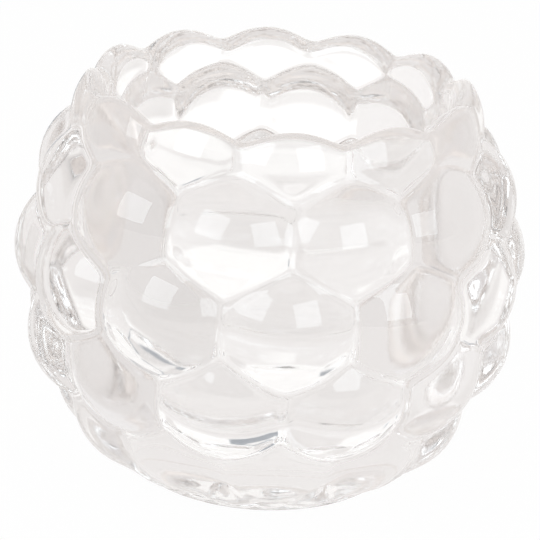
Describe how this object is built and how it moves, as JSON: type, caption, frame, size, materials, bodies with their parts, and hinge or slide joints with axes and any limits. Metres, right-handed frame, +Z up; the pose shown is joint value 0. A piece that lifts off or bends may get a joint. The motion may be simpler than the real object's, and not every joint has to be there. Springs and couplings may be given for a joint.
{
  "type": "votive candle holder",
  "caption": "Clear pressed-glass votive candle holder: a globe of staggered round bubbles with a scalloped, rounded lip, a smooth tapered well and a low turned foot.",
  "frame": {"origin": "centre of the foot, on the surface that the holder stands on", "axes": "+Z up along the well's axis, out of the mouth; -Y towards a bubble of the top row, the side that faces the viewer"},
  "size_m": [0.09, 0.09, 0.071],
  "materials": {
    "clear_glass": "fire-polished, clear"
  },
  "bodies": {
    "root": {"bubble_glass": "clear_glass"}
  },
  "joints": []
}
